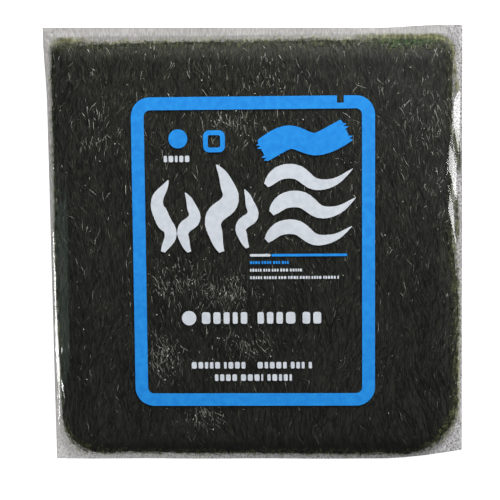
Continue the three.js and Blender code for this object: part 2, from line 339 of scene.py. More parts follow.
def lay_strands(name, material, seed, x, y, heading, length, width, bend, height, limit, steps):
    """Three-sided strands through the places x, y as one mesh. bend is how far each turns at a step,
    height(x, y) is what they lie on, and limit is how far past the sheets' edge each may reach. None
    leaves the pouch."""
    rng = np.random.default_rng(seed)
    count = len(x)
    t = np.linspace(0, 1, steps + 1)
    turns = rng.normal(0, bend, (count, 1)) + rng.normal(0, bend, (count, steps))
    way = heading[:, None] + np.cumsum(turns, 1) - turns.sum(1, keepdims=True) / 2
    stride = (length / steps)[:, None]
    start = np.zeros((count, 1))
    px = np.concatenate([start, np.cumsum(stride * np.cos(way), 1)], 1)
    py = np.concatenate([start, np.cumsum(stride * np.sin(way), 1)], 1)
    px += (x - px.mean(1))[:, None]
    py += (y - py.mean(1))[:, None]
    over = np.maximum(sheet_distance(px, py) - limit[:, None], 0)
    slope_x = (sheet_distance(px + PROBE, py) - sheet_distance(px - PROBE, py)) / (2 * PROBE)
    slope_y = (sheet_distance(px, py + PROBE) - sheet_distance(px, py - PROBE)) / (2 * PROBE)
    px = np.clip(px - slope_x * over, -HALF_WIDTH + INSET_LEFT, HALF_WIDTH - INSET_RIGHT)
    py = np.clip(py - slope_y * over, -HALF_LENGTH + INSET_FOOT, HALF_LENGTH - INSET_TOP)
    belly = np.sin(math.pi * (0.06 + 0.88 * t))
    radius = (width / 2)[:, None] * (TIP_SHARE + (1 - TIP_SHARE) * belly)
    pz = height(px, py)
    way = np.concatenate([way[:, :1], (way[:, 1:] + way[:, :-1]) / 2, way[:, -1:]], 1)
    rings = []
    for across, up in THREE_SIDES:
        ring_x = px - across * radius * np.sin(way)
        ring_y = py + across * radius * np.cos(way)
        rings.append(np.stack([ring_x, ring_y, pz + up * radius], 2))
    points = np.stack(rings, 2).reshape(-1, 3)
    first = (np.arange(count) * (steps + 1) * 3)[:, None]
    faces = []
    for k in range(steps):
        here, there = first + 3 * k, first + 3 * (k + 1)
        for a, b in ((0, 1), (1, 2), (2, 0)):
            faces += np.concatenate([here + a, here + b, there + b, there + a], 1).tolist()
    last = first + 3 * steps
    faces += np.concatenate([first + 2, first + 1, first], 1).tolist()
    faces += np.concatenate([last, last + 1, last + 2], 1).tolist()
    return new_piece(name, points, faces, [material])


def spread(rng, count, weight):
    """Random places on the stack, thick where weight(x, y) is large."""
    x = rng.uniform(-1, 1, count * SPREAD_TRIES) * STACK_HALF_WIDTH + STACK_X
    y = rng.uniform(-1, 1, count * SPREAD_TRIES) * STACK_HALF_LENGTH + STACK_Y
    wanted = weight(x, y) * (sheet_distance(x, y) < SPREAD_REACH)
    chosen = rng.choice(len(x), count, replace=False, p=wanted / wanted.sum())
    return x[chosen], y[chosen]


def up_the_sheet(rng, x, y, sway):
    """The way the strands run: up the sheet, swaying in patches."""
    lie = 0.3 * rough(x, y, 26, 11) + 0.25 * rough(x, y, 9, 12)
    return math.pi / 2 + lie + rng.normal(0, sway, len(x))


def on_either_face(back, depth):
    """What strands lie on: the back of the stack where back is true, else its front."""

    def height(x, y):
        behind = inside(x, y, 0) - BACK_GAP * FILM_CLEARANCE - depth[:, None]
        before = inside(x, y, 1) + FRONT_GAP * FILM_CLEARANCE + depth[:, None]
        return np.where(back[:, None], behind, before)

    return height


def looseness_and_painted_light(x, y):
    """How loose the felt is: most at the top right, least along the foot, and in clumps. Its rise from
    the foot to the top is partly painted light, paler felt where more light falls.
    """
    u, v = x / STACK_HALF_WIDTH, y / STACK_HALF_LENGTH
    slant = 0.5 + 0.38 * v + 0.08 * u + 0.2 * u * v
    clumps = 1 + 0.5 * rough(x, y, 18, 21) + 0.45 * rough(x, y, 6, 22)
    return np.maximum(slant * clumps, 0.03)


def dried_strand(name, dark, middle, light, roughness, specular, painted_light_up=1.0):
    """A strand of dried seaweed, round and oiled, so that it shines in a line along its length. Its
    colour changes every 1.3 mm across and 4 mm along, with its thickness, and carries painted light up
    the pack: paler towards the top where painted_light_up is above 0, paler towards the foot where it
    is below."""
    material, tree = new_material(name)
    place = add_node(tree, "TexCoord").outputs["Object"]
    scaled = add_node(tree, "VectorMath", {0: place, 1: grains(1.3, 4)}, operation="MULTIPLY")
    noise = add_node(tree, "TexNoise", {"Vector": scaled.outputs[0], "Scale": 1.0})
    up = add_node(tree, "SeparateXYZ", {0: place}).outputs["Y"]
    painted_light_tone = {0: up, 1: painted_light_up, 2: noise.outputs["Fac"]}
    tone = add_node(tree, "Math", painted_light_tone, operation="MULTIPLY_ADD").outputs[0]
    stops = ((0.34, dark), (0.5, middle), (0.68, light))
    colour = add_node(tree, "ValToRGB", {"Fac": tone}, stops)
    finish = {"Base Color": colour.outputs[0], "Roughness": roughness, "Specular IOR Level": specular}
    shader = add_node(tree, "BsdfPrincipled", finish)
    add_node(tree, "OutputMaterial", {"Surface": shader.outputs[0]})
    return material


BLACK_STRANDS = 6800
rng = np.random.default_rng(101)
x, y = spread(rng, BLACK_STRANDS, lambda x, y: 1 + 0.3 * rough(x, y, 10, 23))
lay_strands(
    "strands_black",
    dried_strand("dried_strand_black", "#12130f", "#1f201a", "#31322a", roughness=0.5, specular=0.3),
    102,
    x,
    y,
    heading=up_the_sheet(rng, x, y, sway=0.2),
    length=rng.uniform(7, 20, len(x)),
    width=rng.uniform(0.2, 0.42, len(x)),
    bend=0.13,
    height=on_either_face(rng.random(len(x)) < 0.3, rng.uniform(0, 0.1, len(x))),
    limit=rng.uniform(-0.8, 0.9, len(x)),
    steps=3,
)

OLIVE_STRANDS = 7000
rng = np.random.default_rng(103)
x, y = spread(rng, OLIVE_STRANDS, lambda x, y: 0.1 + looseness_and_painted_light(x, y))
lay_strands(
    "strands_olive",
    dried_strand("dried_strand_olive", "#1a1b15", "#323329", "#5e5f4d", roughness=0.45, specular=0.4),
    104,
    x,
    y,
    heading=up_the_sheet(rng, x, y, sway=0.3),
    length=rng.uniform(3, 11, len(x)),
    width=rng.uniform(0.14, 0.28, len(x)),
    bend=0.18,
    height=on_either_face(rng.random(len(x)) < 0.25, rng.uniform(0.04, 0.14, len(x))),
    limit=rng.uniform(-0.5, 1.2, len(x)),
    steps=4,
)

# ---- Pale hairs ------------------------------------------------------------------------------------
# The finest strands lie loose on the felt as pale curled hairs, a few millimetres long, thickly in
# some patches, and glint where their oiled sides face the light. Their pale colour is a painted
# highlight: the glints of the oiled felt.

PALE_HAIRS = 2000
PATCH_SCATTER = 0.6  # how far the hairs of a patch lie off its middle, of its half-sizes
HAIR_PATCHES = (  # middle x, y, half-width, half-length, share of the hairs
    (-47, -57, 8, 12, 0.09),
    (-27, -89, 9, 6, 0.05),
    (-42, -19, 18, 10, 0.08),
    (-14, -24, 14, 9, 0.08),
    (-6, -51, 16, 7, 0.05),
    (-76, 60, 12, 12, 0.02),
    (8, 84, 14, 9, 0.02),
    (-12, 63, 16, 8, 0.05),
    (88, 62, 13, 32, 0.055),
)


def hair_places(rng, count):
    """Places for the pale hairs: thick in the patches above, thin everywhere else."""
    xs, ys = [], []
    for patch_x, patch_y, half_width, half_length, share in HAIR_PATCHES:
        xs.append(rng.normal(patch_x, half_width * PATCH_SCATTER, int(count * share)))
        ys.append(rng.normal(patch_y, half_length * PATCH_SCATTER, int(count * share)))
    x, y = spread(rng, count - sum(len(v) for v in xs), looseness_and_painted_light)
    return np.concatenate([*xs, x]), np.concatenate([*ys, y])


rng = np.random.default_rng(105)
x, y = hair_places(rng, PALE_HAIRS)
lay_strands(
    "hairs_pale",
    dried_strand("dried_hair_painted_glint", "#6a6a60", "#b2b2a8", "#f2f2ea", roughness=0.35, specular=0.6),
    106,
    x,
    y,
    heading=up_the_sheet(rng, x, y, sway=0.4),
    length=0.8 + 5.0 * rng.random(len(x)) ** 1.5,
    width=0.1 + 0.15 * rng.random(len(x)) ** 2,
    bend=0.1,
    height=on_either_face(rng.random(len(x)) < 0.2, rng.uniform(0.14, 0.2, len(x))),
    limit=rng.uniform(-1.5, 0.5, len(x)),
    steps=4,
)

# ---- Salt ------------------------------------------------------------------------------------------
# Fine table salt from the seasoning: small clear cubes, white where they break up the light, caught
# between the strands.

SALT_GRAINS = 420
SMALLEST_GRAIN, GRAIN_RANGE = 0.08, 0.16  # half a grain's side, and how much more it may be
GRAIN_TILT = 0.5
GRAIN_LIFT = 0.2  # from the front sheet to a grain's middle


def salt_crystal():
    """Table salt: clear crystal that looks white, as its rubbed faces scatter the light."""
    material, tree = new_material("salt_grain_frosted")
    finish = {"Base Color": linear("#d6d6cf"), "Roughness": 0.3, "IOR": 1.54}
    shader = add_node(tree, "BsdfPrincipled", finish)
    add_node(tree, "OutputMaterial", {"Surface": shader.outputs[0]})
    return material


rng = np.random.default_rng(107)
x, y = hair_places(rng, SALT_GRAINS)
half = SMALLEST_GRAIN + GRAIN_RANGE * rng.random((len(x), 1)) ** 3
turn = rng.uniform(0, math.pi / 2, (len(x), 1))
tilt = rng.uniform(-GRAIN_TILT, GRAIN_TILT, (len(x), 1))
cube = np.array([(a, b, c) for c in (-1, 1) for a, b in ((-1, -1), (1, -1), (1, 1), (-1, 1))], float).T
tilted_x = half * (cube[0] * np.cos(tilt) - cube[2] * np.sin(tilt))
tilted_z = half * (cube[0] * np.sin(tilt) + cube[2] * np.cos(tilt))
grain_x = x[:, None] + tilted_x * np.cos(turn) - half * cube[1] * np.sin(turn)
grain_y = y[:, None] + tilted_x * np.sin(turn) + half * cube[1] * np.cos(turn)
grain_z = inside(x, y, 1)[:, None] + GRAIN_LIFT + tilted_z
points = np.stack([grain_x, grain_y, grain_z], 2).reshape(-1, 3)
sides = np.array([(3, 2, 1, 0), (4, 5, 6, 7), (0, 1, 5, 4), (1, 2, 6, 5), (2, 3, 7, 6), (3, 0, 4, 7)])
faces = (sides[None] + 8 * np.arange(len(x))[:, None, None]).reshape(-1, 4).tolist()
new_piece("salt_grains", points, faces, [salt_crystal()], shade_smooth=False)

# ---- Ragged fringe ---------------------------------------------------------------------------------
# Round its edge the felt thins out to single, mossy green strands, whose pale colour is partly
# painted light: the light that shines through them.
# They reach a few millimetres into the gap between the two webs of film, most of all at the corners
# and along the top. Loose tufts of them stand out further.

MOSS_STRANDS = 8800
GREEN_STRANDS = 500
WISPS = 6400
GREEN_PATCH = (77, 101.5, 13, 2.4)  # middle x, y and half-sizes of a patch of fresher green strands
TUFT_SCATTER = (0.6, 0.5)  # how far a tuft's strands lie off its middle, of its half-sizes
# The tufts: middle x, y, half-sizes and number of strands.
PALE_TUFTS = (
    (-93, 104, 7, 3.0, 330),
    (78, 105, 20, 3, 900),
    (91, 104, 9, 3, 500),
    (99.5, 97, 1.6, 7, 200),
    (101.2, 87, 1.2, 3, 90),
    (103, 79, 1.1, 3, 120),
    (103.6, 14, 0.8, 12, 120),
)
OLIVE_TUFTS = (
    (101.8, 54, 0.9, 5, 150),
    (103.2, 48, 0.9, 6, 240),
    (104.0, 42, 0.7, 6, 150),
    (102.6, 20, 0.9, 6, 100),
    (103.2, 9, 1.0, 9, 130),
)

# The fringe's width, how much wider it is along the top, the foot and the lower right side, at the
# corners and on the way to the top right one, and how unevenly it grows.
FRINGE_WIDTH, FRINGE_TOP, FRINGE_FOOT, FRINGE_RIGHT = 0.9, 1.1, 0.6, 0.9
FRINGE_CORNERS, FRINGE_TOP_RIGHT, FRINGE_UNEVEN = 1.2, 1.0, 0.35
# The widest fringe that each kind of strand makes, and the width that it makes in the tufts.
MOSS_WIDEST, OLIVE_TUFT_WIDTH = 2.2, 5.5
WISPS_WIDEST, PALE_TUFT_WIDTH = 2.8, 3.4

rng = np.random.default_rng(109)
edge = sheet_outline(step=0.25, seed=3, rag=0.3)
outward = np.roll(edge, -1, 0) - np.roll(edge, 1, 0)
outward = np.stack([outward[:, 1], -outward[:, 0]], 1) / np.hypot(*outward.T)[:, None]
edge_x, edge_y = edge.T
to_right, to_top = outward.T
fringe = FRINGE_WIDTH + FRINGE_TOP * smooth(to_top, 0.3, 0.9) + FRINGE_FOOT * smooth(-to_top, 0.3, 0.9)
fringe += FRINGE_RIGHT * smooth(to_right, 0.3, 0.9) * smooth(edge_y, 40, -10)
fringe += FRINGE_CORNERS * smooth(np.abs(to_right * to_top), 0.1, 0.4)
fringe += FRINGE_TOP_RIGHT * smooth(edge_y, 92, 100) * smooth(edge_x, 20, 80)
fringe *= 1 + FRINGE_UNEVEN * rough(edge_x, edge_y, 7, 61)


def along_the_edge(rng, count, start, end, lie):
    """Places, headings and the fringe's width for strands along the edge, lying outwards within lie.
    start and end are where they lie across the fringe, in widths of it from the edge."""
    pick = rng.choice(len(edge), count, p=fringe / fringe.sum())
    reach = rng.uniform(start, end, count) * fringe[pick]
    x = edge_x[pick] + to_right[pick] * reach
    y = edge_y[pick] + to_top[pick] * reach
    heading = np.arctan2(to_top[pick], to_right[pick]) + rng.normal(0, lie, count)
    return x, y, heading, fringe[pick]


def gather(rng, tufts, x, y):
    """Moves the first strands into the tufts, and says how many they are."""
    done = 0
    for tuft_x, tuft_y, half_x, half_y, strands in tufts:
        x[done : done + strands] = rng.normal(tuft_x, half_x * TUFT_SCATTER[0], strands)
        y[done : done + strands] = rng.normal(tuft_y, half_y * TUFT_SCATTER[1], strands)
        done += strands
    return done


def between_films(share):
    """What the fringe lies on: each strand at its own share of the way from the back to the front."""
    return lambda x, y: inside(x, y, share[:, None])


x, y, heading, width = along_the_edge(rng, MOSS_STRANDS, start=-0.9, end=0.9, lie=1.0)
width = np.minimum(width, MOSS_WIDEST)
width[: gather(rng, OLIVE_TUFTS, x, y)] = OLIVE_TUFT_WIDTH
# Painted light: the moss and its tufts are paler towards the foot, where the pack's shoulder shades them
# from the large light.
lay_strands(
    "fringe_moss",
    dried_strand("thin_seaweed_moss", "#232815", "#434a2a", "#7c8253", 0.5, 0.4, painted_light_up=-0.7),
    110,
    x,
    y,
    heading,
    length=rng.uniform(0.8, 2.8, len(x)),
    width=rng.uniform(0.12, 0.26, len(x)),
    bend=0.32,
    height=between_films(rng.uniform(0.96, 1.08, len(x))),
    limit=rng.uniform(0.4, 1.1, len(x)) * width,
    steps=3,
)

rng = np.random.default_rng(112)
patch_x, patch_y, half_x, half_y = GREEN_PATCH
lay_strands(
    "fringe_green",
    dried_strand("thin_seaweed_green", "#182210", "#29411f", "#4a6a3a", roughness=0.5, specular=0.4),
    113,
    rng.normal(patch_x, half_x * PATCH_SCATTER, GREEN_STRANDS),
    rng.normal(patch_y, half_y * PATCH_SCATTER, GREEN_STRANDS),
    heading=rng.normal(1.5, 0.7, GREEN_STRANDS),
    length=rng.uniform(1.0, 3.2, GREEN_STRANDS),
    width=rng.uniform(0.12, 0.26, GREEN_STRANDS),
    bend=0.4,
    height=between_films(rng.uniform(1.0, 1.08, GREEN_STRANDS)),
    limit=rng.uniform(1.0, 2.2, GREEN_STRANDS),
    steps=3,
)

rng = np.random.default_rng(114)
x, y, heading, width = along_the_edge(rng, WISPS, start=-0.3, end=1.7, lie=1.1)
width = np.minimum(width, WISPS_WIDEST)
width[: gather(rng, PALE_TUFTS, x, y)] = PALE_TUFT_WIDTH
# Painted light: the wisps are paler towards the foot, where the pack's shoulder shades them from the
# large light.
lay_strands(
    "fringe_wisps",
    dried_strand("thin_seaweed_wisp", "#6f7444", "#acae7e", "#d9dab3", 0.5, 0.4, painted_light_up=-0.5),
    111,
    x,
    y,
    heading,
    length=rng.uniform(0.8, 3.4, len(x)),
    width=rng.uniform(0.09, 0.2, len(x)),
    bend=0.5,
    height=between_films(rng.uniform(0.4, 1.07, len(x))),
    limit=rng.uniform(0.7, 1.4, len(x)) * width,
    steps=3,
)

# ---- Clear film ------------------------------------------------------------------------------------
# The pouch is polypropylene film, glossy and clear, in two webs that are heat-sealed round the edge.
# It is tight over the stack and rounds its shoulders. Slack is tucked into flat facets down the right
# side and into a long fold down the left. The hot jaws crinkle the sealed margin, which looks grey.

# Its mesh: the steps near the edges and in the middle, and how wide the bands of fine steps are.
FINE_STEP, WIDE_STEP, FINE_BAND, BAND_FADE = 0.32, 1.8, 10.5, 9
PLEATS, CRUMPLES, MORE_CRUMPLES, CREASES = 0.07, 0.05, 0.06, 0.09  # how far each rises or falls
SEALED_FROM = -0.8  # where the film looks sealed, outwards from the sheets' outline
# Its flat outline: how far each edge lies inside the pouch's box, how it slants, and how far it turns
# in or out towards a corner.
LEFT_INSET, SIDE_SLANT, LEFT_TURN = 1.4, 0.0045, 1.4
TOP_SLANT, TOP_TURN = 0.013, 1.5
FOOT_TURN, FOOT_TURN_START = 4.6, 0.62
TUCK_LIFT = 0.13  # how far a tuck's middle stands off the film, of its width
TUCK_EDGE = 0.2  # half the width over which its edges blend into the film
FACET_SLOPE, FOLD_SLOPE = 0.6, -0.56  # how steeply the tucks fall towards +X
# Each tuck: its slope, then its outline as rows of y, left x and right x from the top down.
TUCKS = (
    (
        FACET_SLOPE,
        (79.0, 102.6, 102.9),
        (76.5, 101.2, 104.0),
        (73.0, 100.1, 104.4),
        (67.3, 99.8, 104.3),
        (59.9, 99.8, 104.2),
        (55.9, 100.2, 104.1),
        (52.4, 101.0, 104.1),
        (48.4, 102.0, 104.0),
        (44.4, 102.8, 103.8),
        (40.5, 103.3, 103.4),
    ),
    (
        FACET_SLOPE,
        (54.2, 98.4, 98.6),
        (49.9, 97.7, 99.9),
        (47.4, 97.5, 101.0),
        (42.4, 97.3, 101.8),
        (37.4, 97.3, 102.3),
        (34.9, 97.5, 102.4),
        (32.4, 98.4, 102.6),
        (30.4, 99.2, 102.7),
        (27.4, 99.9, 102.7),
        (23.0, 100.8, 102.5),
        (20.0, 102.2, 102.3),
    ),
    (
        FACET_SLOPE,
        (30.6, 97.4, 97.5),
        (27.4, 97.7, 98.7),
        (24.9, 98.2, 99.4),
        (20.8, 97.6, 100.0),
        (17.3, 97.4, 100.6),
        (14.3, 97.6, 100.9),
        (11.3, 98.5, 101.2),
        (7.2, 99.5, 101.8),
        (3.7, 100.5, 102.6),
        (1.0, 102.3, 102.9),
    ),
    (
        FOLD_SLOPE,
        (44.5, -102.5, -102.0),
        (41.0, -102.3, -100.4),
        (38.2, -102.0, -101.4),
        (36.0, -102.0, -101.8),
    ),
    (
        FOLD_SLOPE,
        (13.0, -102.9, -102.8),
        (8.0, -103.4, -102.1),
        (-7.0, -103.4, -101.8),
        (-27.5, -103.2, -101.5),
        (-44.0, -103.1, -101.1),
        (-60.0, -102.8, -100.4),
        (-68.0, -102.4, -100.1),
        (-71.5, -102.2, -100.7),
        (-88.0, -102.1, -100.8),
        (-93.0, -101.4, -101.3),
    ),
    (
        FOLD_SLOPE,
        (-67.0, -99.9, -99.6),
        (-70.0, -100.7, -98.5),
        (-73.0, -99.8, -97.8),
        (-76.0, -98.6, -98.2),
    ),
)


def crinkles(x, y):
    """What the hot jaws leave: fine pleats up the film, rougher down the right side and at corners."""
    side = smooth(x, 97, 101) + smooth(np.abs(x) + np.abs(y), 192, 204)
    crumples = CRUMPLES + MORE_CRUMPLES * np.minimum(side, 1)
    return PLEATS * rough(x, y * 0.35, 0.9, 71) + crumples * rough(x, y, 1.3, 72)


def front_film(x, y):
    """Height of the front web, with its tucks and the crinkles of the margin."""
    height = front_rise(x, y) + (1 - fullness(x, y)) * crinkles(x, y)
    height = height + CREASES * rough(x, y * 0.6, 2.2, 73) * smooth(stack_distance(x, y), -8, 0)
    for slope, *rows in TUCKS:
        places, left, right = np.array(rows[::-1]).T
        middle_y = (places[0] + places[-1]) / 2
        middle_x = (np.interp(middle_y, places, left) + np.interp(middle_y, places, right)) / 2
        width = np.interp(middle_y, places, right) - np.interp(middle_y, places, left)
        level = front_rise(middle_x, middle_y) + TUCK_LIFT * width
        inwards = np.minimum(x - np.interp(y, places, left), np.interp(y, places, right) - x)
        inwards = np.where((y > places[0]) & (y < places[-1]), inwards, -1)
        facet = level - slope * (x - middle_x)
        height = lerp(height, facet, smooth(inwards, -TUCK_EDGE, TUCK_EDGE))
    return height


def back_film(x, y):
    """Height of the back web, which the tucks of the front press down."""
    height = back_rise(x, y) + (1 - fullness(x, y)) * crinkles(x, y)
    return np.minimum(height, front_film(x, y) - SEAL_GAP)


def clear_film():
    """Cast polypropylene: clear, with a mirror gloss that grows from 6 % head-on to nearly all at
    grazing views. It dents a little over the strands, every 6 mm across and 9 mm along."""
    material, tree = new_material("polypropylene_film_clear")
    place = add_node(tree, "TexCoord").outputs["Object"]
    scaled = add_node(tree, "VectorMath", {0: place, 1: grains(6, 9)}, operation="MULTIPLY")
    dents = add_node(tree, "TexNoise", {"Vector": scaled.outputs[0], "Scale": 1.0})
    relief = {"Strength": 0.25, "Distance": 0.12 * MM, "Height": dents.outputs["Fac"]}
    bump = add_node(tree, "Bump", relief).outputs[0]
    finish = {"Base Color": linear("#ffffff"), "Metallic": 1.0, "Roughness": 0.08, "Normal": bump}
    gloss = add_node(tree, "BsdfPrincipled", finish)
    through = add_node(tree, "BsdfTransparent", {"Color": linear("#fbfbf9")})
    slant = add_node(tree, "LayerWeight", {"Blend": 0.5, "Normal": bump}).outputs["Facing"]
    grazing = add_node(tree, "Math", {0: slant, 1: 5.0}, operation="POWER").outputs[0]
    mirror = {0: grazing, 1: 0.92, 2: 0.06}
    share = add_node(tree, "Math", mirror, operation="MULTIPLY_ADD")
    both = {0: share.outputs[0], 1: through.outputs[0], 2: gloss.outputs[0]}
    film = add_node(tree, "MixShader", both)
    add_node(tree, "OutputMaterial", {"Surface": film.outputs[0]})
    return material


def sealed_margin():
    """The same film where hot jaws crinkled and sealed it: cloudy grey, with fine streaks 0.6 mm apart
    and, along the right side and the foot, specks of painted glint and painted shade, light where its
    crinkles catch the light and dark where they turn it away."""
    material, tree = new_material("polypropylene_seal_crinkled")
    place = add_node(tree, "TexCoord").outputs["Object"]
    streak_place = add_node(tree, "VectorMath", {0: place, 1: grains(0.6, 3)}, operation="MULTIPLY")
    streaks = add_node(tree, "TexNoise", {"Vector": streak_place.outputs[0], "Scale": 1.0})
    speck_place = add_node(tree, "VectorMath", {0: place, 1: grains(0.8, 1.1)}, operation="MULTIPLY")
    specks = add_node(tree, "TexNoise", {"Vector": speck_place.outputs[0], "Scale": 1.0})
    sides = add_node(tree, "SeparateXYZ", {0: place}).outputs
    right = {"Value": sides["X"], "From Min": 93 * MM, "From Max": 101 * MM}
    foot = {"Value": sides["Y"], "From Min": -94 * MM, "From Max": -102 * MM}
    speckled_sides = {i: add_node(tree, "MapRange", side).outputs[0] for i, side in enumerate((right, foot))}
    where = add_node(tree, "Math", speckled_sides, operation="MAXIMUM")
    # Painted light: the specked ramp's dark and light stops are painted shade and painted glints of the
    # crinkles.
    streaked = ((0.33, "#878586"), (0.5, "#9c9a9b"), (0.67, "#b2b0b2"))
    glint_and_shade_stops = ((0.38, "#4a4846"), (0.46, "#94929a"), (0.6, "#c8c6cc"))
    plain = add_node(tree, "ValToRGB", {"Fac": streaks.outputs["Fac"]}, streaked)
    painted_glint_and_shade = add_node(tree, "ValToRGB", {"Fac": specks.outputs["Fac"]}, glint_and_shade_stops)
    tones = {0: where.outputs[0], 6: plain.outputs[0], 7: painted_glint_and_shade.outputs[0]}
    colour = add_node(tree, "Mix", tones, data_type="RGBA").outputs[2]
    relief = {"Strength": 0.8, "Distance": 0.2 * MM, "Height": specks.outputs["Fac"]}
    bump = add_node(tree, "Bump", relief).outputs[0]
    cloudy = add_node(tree, "BsdfPrincipled", {"Base Color": colour, "Roughness": 0.35, "Normal": bump})
    through = add_node(tree, "BsdfTransparent", {"Color": linear("#f4f3f0")})
    # Painted light: the margin is clearer towards the left end of the foot, so more of the glowing table
    # shows through and lightens it where it lies in shade.
    slant = {0: place, 1: (0.5, 1.0, 0.0)}  # least at the left end of the foot, where it is clearest
    corner = add_node(tree, "VectorMath", slant, operation="DOT_PRODUCT").outputs["Value"]
    clearer_in_shade = {"Value": corner, "From Min": -160 * MM, "From Max": -90 * MM, "To Min": 0.68, "To Max": 0.85}
    cloudiness = add_node(tree, "MapRange", clearer_in_shade).outputs[0]
    both = {0: cloudiness, 1: through.outputs[0], 2: cloudy.outputs[0]}
    margin = add_node(tree, "MixShader", both)
    add_node(tree, "OutputMaterial", {"Surface": margin.outputs[0]})
    return material


def left_edge(y):
    straight = -HALF_WIDTH + LEFT_INSET + SIDE_SLANT * (HALF_LENGTH - y)
    return straight - LEFT_TURN * smooth(y, 0.65 * HALF_LENGTH, HALF_LENGTH)


def right_edge(y):
    return HALF_WIDTH - SIDE_SLANT * (y + HALF_LENGTH)


def top_edge(x):
    straight = HALF_LENGTH - TOP_SLANT * (x + HALF_WIDTH)
    return straight + TOP_TURN * smooth(x, 0.57 * HALF_WIDTH, 0.9 * HALF_WIDTH)


def foot_edge(x):
    turned = np.clip((x / HALF_WIDTH - FOOT_TURN_START) / (1 - FOOT_TURN_START), 0, 1)
    return -HALF_LENGTH + FOOT_TURN * turned**1.3


def grid_lines(half):
    """Places of the film's grid lines: close together near both edges, wide between."""
    at = np.linspace(-half, half, 4001)
    step = lerp(FINE_STEP, WIDE_STEP, smooth(half - np.abs(at), FINE_BAND, FINE_BAND + BAND_FADE))
    lines = np.cumsum((at[1] - at[0]) / step)
    return np.interp(np.linspace(lines[0], lines[-1], round(lines[-1])), lines, at)


nominal_x, nominal_y = np.meshgrid(grid_lines(HALF_WIDTH), grid_lines(HALF_LENGTH))
film_x = lerp(left_edge(nominal_y), right_edge(nominal_y), (nominal_x / HALF_WIDTH + 1) / 2)
film_y = lerp(foot_edge(nominal_x), top_edge(nominal_x), (nominal_y / HALF_LENGTH + 1) / 2)
front = np.stack([film_x, film_y, front_film(film_x, film_y)], 2).reshape(-1, 3)
back = np.stack([film_x, film_y, back_film(film_x, film_y)], 2).reshape(-1, 3)
rows, columns = film_x.shape
number = np.arange(rows * columns).reshape(rows, columns)
cells = np.stack([number[:-1, :-1], number[:-1, 1:], number[1:, 1:], number[1:, :-1]], 2).reshape(-1, 4)
rim = np.concatenate([number[0, :-1], number[:-1, -1], number[-1, :0:-1], number[:0:-1, 0]])
rim_after = np.roll(rim, -1)
film = clear_film()
front_web = new_piece("film_front", front, cells.tolist(), [film])
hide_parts("film_pack")

# The back web closes the rim up to the front web, with one more row of points along it.
edge_row = rows * columns + np.arange(len(rim))
walls = np.stack([np.roll(edge_row, -1), rim_after, rim, edge_row], 1)
faces = np.concatenate([cells[:, ::-1], walls])
back_points = np.concatenate([back, front[rim]])
back_web = new_piece("film_back", back_points, faces.tolist(), [film, sealed_margin()])
middle_x, middle_y = back_points[faces].mean(1).T[:2]
sealed = sheet_distance(middle_x, middle_y) > SEALED_FROM
back_web.data.polygons.foreach_set("material_index", sealed.astype(np.int32))
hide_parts("film_pack")

# ---- Print -----------------------------------------------------------------------------------------
# Gravure ink on the front film, in blue and white: flat opaque colour a few thousandths of a
# millimetre thick, here 0.03 mm so that it has two faces. It follows the film as it rises and falls.
# The solids' bars are rows of small plain blocks here.

INK_LIFT, INK_THICKNESS, INK_CELL = 0.05, 0.03, 2.5
# A row of blocks: its sizes as shares of its height, and its corners' radius of a block's short side.
NARROWEST_BLOCK, WIDEST_BLOCK, BLOCK_GAP, GROUP_GAP, OVERRUN = 0.4, 0.8, 0.26, 0.6, 0.2
BLOCK_CORNER = 0.28
SMALLEST_GROUP, LARGEST_GROUP = 3, 5  # in blocks


def gravure_ink(name, middle, light):
    """Opaque gravure ink: even colour with a faint mottle 3 mm across, and the satin of a thin dry
    layer."""
    material, tree = new_material(name)
    place = add_node(tree, "TexCoord").outputs["Object"]
    scaled = add_node(tree, "VectorMath", {0: place, 1: grains(3, 3)}, operation="MULTIPLY")
    mottle = add_node(tree, "TexNoise", {"Vector": scaled.outputs[0], "Scale": 1.0})
    stops = ((0.35, middle), (0.65, light))
    colour = add_node(tree, "ValToRGB", {"Fac": mottle.outputs["Fac"]}, stops)
    finish = {"Base Color": colour.outputs[0], "Roughness": 0.55, "Specular IOR Level": 0.3}
    shader = add_node(tree, "BsdfPrincipled", finish)
    add_node(tree, "OutputMaterial", {"Surface": shader.outputs[0]})
    return material


def plate_outline(node):
    """The flat face of one of the frame's ink plates, in millimetres, as a bmesh."""
    plate = bmesh.new()
    plate.from_mesh(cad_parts[node].data)
    bmesh.ops.remove_doubles(plate, verts=plate.verts[:], dist=0.001 * MM)
    under = [face for face in plate.faces if face.normal.z < 0.5]
    bmesh.ops.delete(plate, geom=under, context="FACES")
    for vertex in plate.verts:
        vertex.co = (vertex.co.x / MM, vertex.co.y / MM, 0)
    return plate


def block_row(node, seed):
    """A row of rounded blocks, in groups, where the frame has one bar."""
    low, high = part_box(node)
    height = (high.y - low.y) / MM
    middle_y = (high.y + low.y) / 2 / MM
    rng = np.random.default_rng(seed)
    plate = bmesh.new()
    x = low.x / MM
    group = rng.integers(SMALLEST_GROUP, LARGEST_GROUP + 1)
    while True:
        width = height * rng.uniform(NARROWEST_BLOCK, WIDEST_BLOCK)
        if x + width > high.x / MM + OVERRUN * height:
            break
        right = min(x + width, high.x / MM)
        corner = BLOCK_CORNER * min(height, right - x)
        outline = []
        for turn, (side_x, side_y) in enumerate(((1, -1), (1, 1), (-1, 1), (-1, -1))):
            for k in range(4):
                angle = math.pi / 2 * (turn - 1 + k / 3)
                centre_x = (x + right) / 2 + side_x * ((right - x) / 2 - corner)
                centre_y = middle_y + side_y * (height / 2 - corner)
                place = (centre_x + corner * math.cos(angle), centre_y + corner * math.sin(angle), 0)
                outline.append(plate.verts.new(place))
        plate.faces.new(outline)
        group -= 1
        x = right + height * (BLOCK_GAP if group else GROUP_GAP)
        group = group or rng.integers(SMALLEST_GROUP, LARGEST_GROUP + 1)
    return plate


